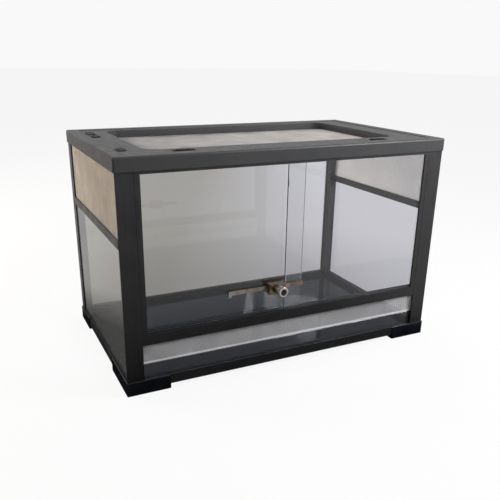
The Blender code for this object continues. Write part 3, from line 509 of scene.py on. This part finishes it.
roundTopEdges("lid_frame", "lid", moulded)
roundTopEdges("top_frame", "cabinet", moulded)
for corner in corners:
    roundTopEdges(f"foot_{corner}", "cabinet", shoeRubber)


# Floor, light and camera

def grey(level):
    return (level, level, level)


# Colours or sockets mixed by a factor: a Mix node keeps its colours at inputs 6 and 7 and output 2
def mixColours(tree, factor, first, second):
    mix = addNode(tree, "ShaderNodeMix", data_type="RGBA")
    tree.links.new(factor, mix.inputs["Factor"])
    for socket, value in ((6, first), (7, second)):
        if isinstance(value, bpy.types.NodeSocket):
            tree.links.new(value, mix.inputs[socket])
        else:
            mix.inputs[socket].default_value = (*value, 1)
    return mix.outputs[2]


# A backdrop's glow for each kind of ray: seen directly, seen behind glass, mirrored and the rest
def backdropGlow(tree, seen, behindGlass, mirrored, other):
    path = addNode(tree, "ShaderNodeLightPath")
    glow = mixColours(tree, path.outputs["Is Glossy Ray"], other, mirrored)
    glow = mixColours(tree, path.outputs["Is Transmission Ray"], glow, behindGlass)
    return mixColours(tree, path.outputs["Is Camera Ray"], glow, seen)


# Glow across the floor from one colour to another along a turned line, scaled by levels at distances
# in metres from the object's middle: dark near the object, a painted shadow of it on the floor
def floorGlow(tree, look):
    turned = objectCoords(tree, rotation=(0, 0, math.radians(look["turn"])))
    across = spread(tree, alongAxis(tree, turned, "X"), 0.0, 1.0, look["start"], look["end"])
    away = addNode(tree, "ShaderNodeVectorMath", operation="LENGTH")
    tree.links.new(objectCoords(tree), away.inputs[0])
    levels = [(distance, grey(level)) for distance, level in look["paintedShadowFalloff"]]
    # Painted shadow: the glow dims towards the object's middle
    paintedShadowDimming = rampColours(tree, away.outputs["Value"], levels)
    return scaleColour(tree, mixColours(tree, across, look["first"], look["second"]), paintedShadowDimming)


floorLook = {
    "size": 15, "back": 8, "below": 0.0002, "roughness": 0.9,
    "colour": (0.09, 0.09, 0.09), "mirrored": (0.006, 0.006, 0.006), "seen": 0.885,
    # Both glows are dark near the object: a painted shadow of it, seen behind glass and mirrored
    "behindGlass": {
        "turn": 25.8, "start": -0.22, "end": 0.31, "paintedShadowFalloff": ((0.30, 0.72), (0.80, 1.0)),
        "first": (0.395, 0.378, 0.338), "second": (0.69, 0.682, 0.728),
    },
    "shine": {
        "turn": -36.9, "start": -0.85, "end": 0.3,
        "paintedShadowFalloff": ((0.36, 0.0), (0.50, 0.72), (0.65, 0.72), (1.0, 0.60)),
        "first": (0.05, 0.052, 0.057), "second": (1.0, 0.98, 0.96),
    },
}


def makeFloor(look):
    bm = bmesh.new()
    bmesh.ops.create_grid(bm, x_segments=1, y_segments=1, size=look["size"])
    bmesh.ops.translate(bm, vec=(0, look["back"], -look["below"]), verts=bm.verts)
    material, tree, shader = shaderTree("studio floor")
    path = addNode(tree, "ShaderNodeLightPath")
    colour = mixColours(tree, path.outputs["Is Glossy Ray"], look["colour"], look["mirrored"])
    tree.links.new(colour, shader.inputs["Base Color"])
    shader.inputs["Roughness"].default_value = look["roughness"]
    shader.inputs["Specular IOR Level"].default_value = 0.0
    behindGlass = floorGlow(tree, look["behindGlass"])
    shine = floorGlow(tree, look["shine"])
    glow = backdropGlow(tree, grey(look["seen"]), behindGlass, shine, grey(0))
    tree.links.new(glow, shader.inputs["Emission Color"])
    shader.inputs["Emission Strength"].default_value = 1.0
    pieceFromMesh("studioFloor", bm, [material])


worldLook = {"seen": 0.945, "behindGlass": (0.22, 0.25, 0.29), "shine": 0.70, "light": 0.32}


def makeWorld(look):
    world = bpy.data.worlds.new("studio")
    bpy.context.scene.world = world
    world.use_nodes = True
    tree = world.node_tree
    glow = backdropGlow(
        tree, grey(look["seen"]), look["behindGlass"], grey(look["shine"]), grey(look["light"]),
    )
    tree.links.new(glow, tree.nodes["Background"].inputs["Color"])


# Only the window shows in glass and mirrored surfaces
lampLooks = {
    "window": {
        "place": (0.85, -0.80, 0.90), "power": 17, "size": 0.7, "colour": (0.95, 0.97, 1.0), "mirrored": True,
    },
    "warm": {
        "place": (-1.6, 1.1, 0.55), "power": 42, "size": 0.9, "colour": (1.0, 0.88, 0.76), "mirrored": False,
    },
    "top": {
        "place": (0.2, 1.4, 2.0), "power": 14, "size": 1.6, "colour": (1.0, 1.0, 1.0), "mirrored": False,
    },
}
lampTarget = (0, 0, 0.2)


def makeLamp(name, look):
    lamp = bpy.data.lights.new(name, "AREA")
    lamp.energy = look["power"]
    lamp.size = look["size"]
    lamp.color = look["colour"]
    holder = bpy.data.objects.new(name, lamp)
    holder.location = look["place"]
    aim = Vector(lampTarget) - Vector(look["place"])
    holder.rotation_euler = aim.to_track_quat("-Z", "Y").to_euler()
    holder.visible_glossy = look["mirrored"]
    holder.visible_transmission = look["mirrored"]
    bpy.context.scene.collection.objects.link(holder)


view = {
    "place": (-0.4974, -1.0049, 0.5161), "turn": 25.775, "tilt": -20.851, "roll": 0.703,
    "lens": 43.479, "sensor": 36, "shiftX": 0.0092, "shiftY": 0.0706, "near": 0.01,
}


def makeCamera(look):
    camera = bpy.data.cameras.new("camera")
    camera.lens = look["lens"]
    camera.sensor_width = look["sensor"]
    camera.shift_x = look["shiftX"]
    camera.shift_y = look["shiftY"]
    camera.clip_start = look["near"]
    holder = bpy.data.objects.new("camera", camera)
    holder.matrix_world = (
        Matrix.Translation(look["place"])
        @ Matrix.Rotation(-math.radians(look["turn"]), 4, "Z")
        @ Matrix.Rotation(math.radians(90 + look["tilt"]), 4, "X")
        @ Matrix.Rotation(math.radians(look["roll"]), 4, "Z")
    )
    bpy.context.scene.collection.objects.link(holder)
    bpy.context.scene.camera = holder


makeFloor(floorLook)
makeWorld(worldLook)
for lampName, lampLook in lampLooks.items():
    makeLamp(lampName, lampLook)
makeCamera(view)
bpy.context.scene.view_settings.view_transform = "Standard"
print("studio ready")
